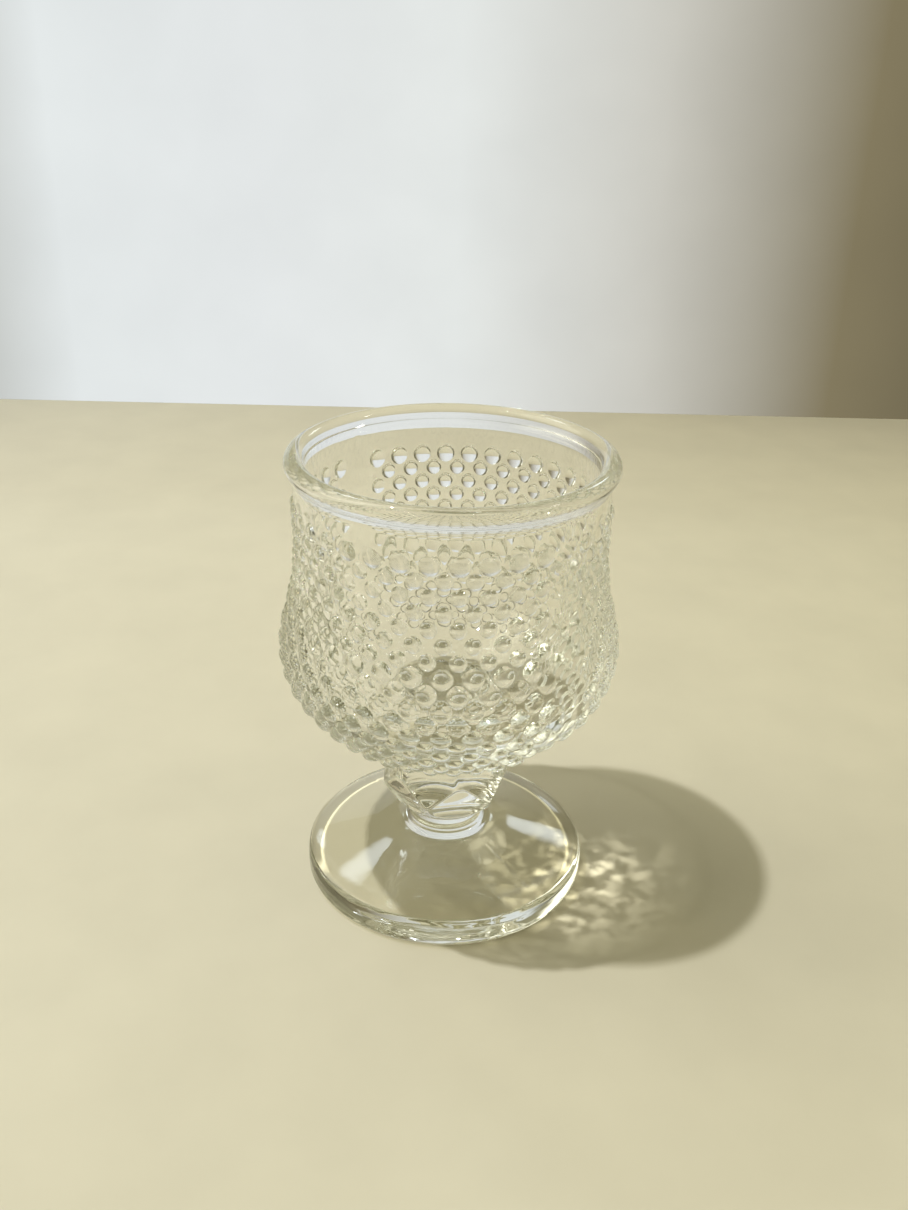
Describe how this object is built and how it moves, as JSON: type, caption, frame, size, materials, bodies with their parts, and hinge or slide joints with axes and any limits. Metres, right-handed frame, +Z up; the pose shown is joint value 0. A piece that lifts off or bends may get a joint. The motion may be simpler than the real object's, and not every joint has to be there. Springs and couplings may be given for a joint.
{
  "type": "shot glass",
  "caption": "Footed shot glass of clear pressed glass: round beaded rim, hobnail bowl, faceted knop stem and a thick round foot.",
  "frame": {"origin": "middle of the foot's resting plane", "axes": "+Z up along the glass's axis, towards the rim; -Y is the front, and the mould seams stand 43.1 degrees from it towards +X and opposite"},
  "size_m": [0.0458, 0.0458, 0.0634],
  "materials": {
    "clear_glass": "fire-polished clear pressed glass with a faint green tint"
  },
  "bodies": {
    "root": {"foot_plate": "clear_glass", "neck": "clear_glass", "knop": "clear_glass", "bowl_base": "clear_glass", "bowl_wall": "clear_glass", "rim_bead": "clear_glass", "mould_seams": "clear_glass", "hobnail_row_01": "clear_glass", "hobnail_row_02": "clear_glass", "hobnail_row_03": "clear_glass", "hobnail_row_04": "clear_glass", "hobnail_row_05": "clear_glass", "hobnail_row_06": "clear_glass", "hobnail_row_07": "clear_glass", "hobnail_row_08": "clear_glass", "hobnail_row_09": "clear_glass", "hobnail_row_10": "clear_glass", "hobnail_row_11": "clear_glass", "hobnail_row_12": "clear_glass", "hobnail_row_13": "clear_glass", "hobnail_row_14": "clear_glass", "hobnail_row_15": "clear_glass", "hobnail_row_16": "clear_glass", "hobnail_row_17": "clear_glass"}
  },
  "joints": []
}
